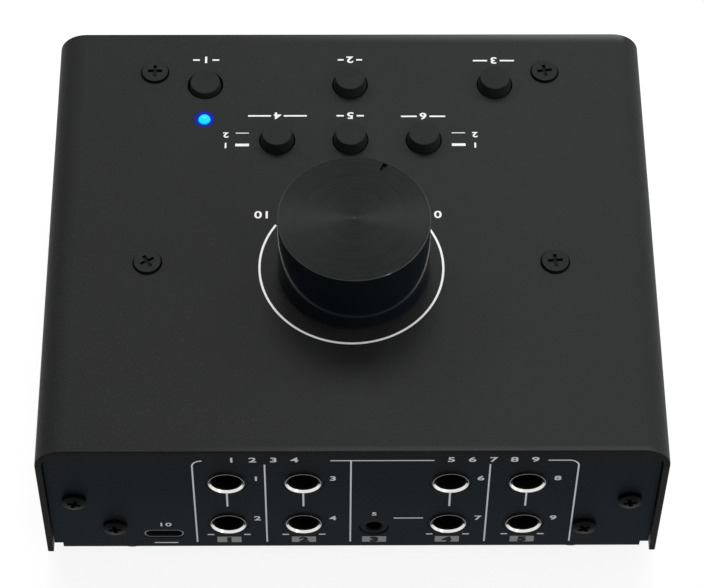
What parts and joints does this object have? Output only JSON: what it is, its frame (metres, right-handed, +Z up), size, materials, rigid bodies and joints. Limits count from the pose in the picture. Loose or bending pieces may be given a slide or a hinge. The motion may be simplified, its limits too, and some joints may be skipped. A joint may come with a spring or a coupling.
{
  "type": "studio monitor controller",
  "caption": "Desktop studio monitor controller: a folded steel box with a turning volume knob, latching push buttons, a status light and rear jack, stereo and USB-C sockets.",
  "frame": {"origin": "on the table under the middle of the box, at the bottom of the feet", "axes": "+Z up, -Y towards the user and the buttons, +Y towards the rear sockets, +X to the user's right"},
  "size_m": [0.139, 0.1178, 0.0659],
  "materials": {
    "cover_paint": "fine-textured black powder coat",
    "tray_paint": "fine-textured black powder coat",
    "foot_rubber": "matte",
    "bracket_steel": "zinc-plated",
    "screw_black": "black oxide",
    "screw_steel": "zinc-plated",
    "spacer_brass": "nickel-plated",
    "board_laminate": "green solder mask",
    "nylon": "natural",
    "block_steel": "tin-plated",
    "cap_plastic": "fine matte",
    "plunger_plastic": "natural",
    "switch_plastic": "matte",
    "led_lens": "clear blue, lit",
    "knob_aluminium": "polished black anodised side, spun top",
    "shaft_steel": "turned",
    "potentiometer_zinc": "die cast",
    "nut_steel": "nickel-plated",
    "socket_plastic": "matte black",
    "ring_chrome": "bright nickel plate",
    "usb_steel": "nickel-plated",
    "tongue_plastic": "matte black",
    "module_shield": "tin-plated shielding can",
    "ribbon_vinyl": "grey vinyl",
    "header_plastic": "matte"
  },
  "bodies": {
    "case": {"top_cover": "cover_paint", "chassis_tray": "tray_paint", "foot_front_left": "foot_rubber", "foot_front_right": "foot_rubber", "foot_rear_left": "foot_rubber", "foot_rear_right": "foot_rubber", "cover_brackets": "bracket_steel", "top_screws": "screw_black", "panel_screws": "screw_black", "board_screws": "screw_steel", "board_spacers": "spacer_brass", "control_board": "board_laminate", "main_board": "board_laminate", "board_supports": "nylon", "fixing_block_left": "block_steel", "fixing_block_right": "block_steel", "wireless_switch": "switch_plastic", "mute_switch": "switch_plastic", "mono_switch": "switch_plastic", "monitor_switch": "switch_plastic", "dim_switch": "switch_plastic", "input_switch": "switch_plastic", "status_led": "led_lens", "potentiometer_body": "potentiometer_zinc", "potentiometer_nut": "nut_steel", "potentiometer_washer": "nut_steel", "jack_housing_1": "socket_plastic", "jack_housing_2": "socket_plastic", "jack_housing_3": "socket_plastic", "jack_housing_4": "socket_plastic", "mini_jack": "socket_plastic", "jack_ring_1_lower": "ring_chrome", "jack_ring_1_upper": "ring_chrome", "jack_ring_2_lower": "ring_chrome", "jack_ring_2_upper": "ring_chrome", "jack_ring_3_lower": "ring_chrome", "jack_ring_3_upper": "ring_chrome", "jack_ring_4_lower": "ring_chrome", "jack_ring_4_upper": "ring_chrome", "usb_shell": "usb_steel", "usb_tongue": "tongue_plastic", "wireless_module": "module_shield", "ribbon_cable": "ribbon_vinyl", "ribbon_header_upper": "header_plastic", "ribbon_header_lower": "header_plastic"},
    "knob": {"volume_knob": "knob_aluminium", "knob_set_screw": "screw_black", "potentiometer_shaft": "shaft_steel"},
    "wireless_button": {"wireless_button_cap": "cap_plastic", "wireless_plunger": "plunger_plastic"},
    "mute_button": {"mute_button_cap": "cap_plastic", "mute_plunger": "plunger_plastic"},
    "mono_button": {"mono_button_cap": "cap_plastic", "mono_plunger": "plunger_plastic"},
    "monitor_button": {"monitor_button_cap": "cap_plastic", "monitor_plunger": "plunger_plastic"},
    "dim_button": {"dim_button_cap": "cap_plastic", "dim_plunger": "plunger_plastic"},
    "input_button": {"input_button_cap": "cap_plastic", "input_plunger": "plunger_plastic"}
  },
  "joints": [
    {"name": "volume_turn", "type": "hinge", "parent": "case", "child": "knob", "pos_m": [-0.0005, 0.0097, 0.0479], "axis": [0, 0, -1], "range_deg": [0, 300]},
    {"name": "wireless_press", "type": "slide", "parent": "case", "child": "wireless_button", "axis": [0, 0, 1], "range_m": [-0.0008, 0.0015]},
    {"name": "mute_press", "type": "slide", "parent": "case", "child": "mute_button", "axis": [0, 0, 1], "range_m": [-0.0023, 0], "stiffness_N_per_m": 400},
    {"name": "mono_press", "type": "slide", "parent": "case", "child": "mono_button", "axis": [0, 0, 1], "range_m": [-0.0023, 0], "stiffness_N_per_m": 400},
    {"name": "monitor_press", "type": "slide", "parent": "case", "child": "monitor_button", "axis": [0, 0, 1], "range_m": [-0.0023, 0], "stiffness_N_per_m": 400},
    {"name": "dim_press", "type": "slide", "parent": "case", "child": "dim_button", "axis": [0, 0, 1], "range_m": [-0.0023, 0], "stiffness_N_per_m": 400},
    {"name": "input_press", "type": "slide", "parent": "case", "child": "input_button", "axis": [0, 0, 1], "range_m": [-0.0023, 0], "stiffness_N_per_m": 400}
  ]
}
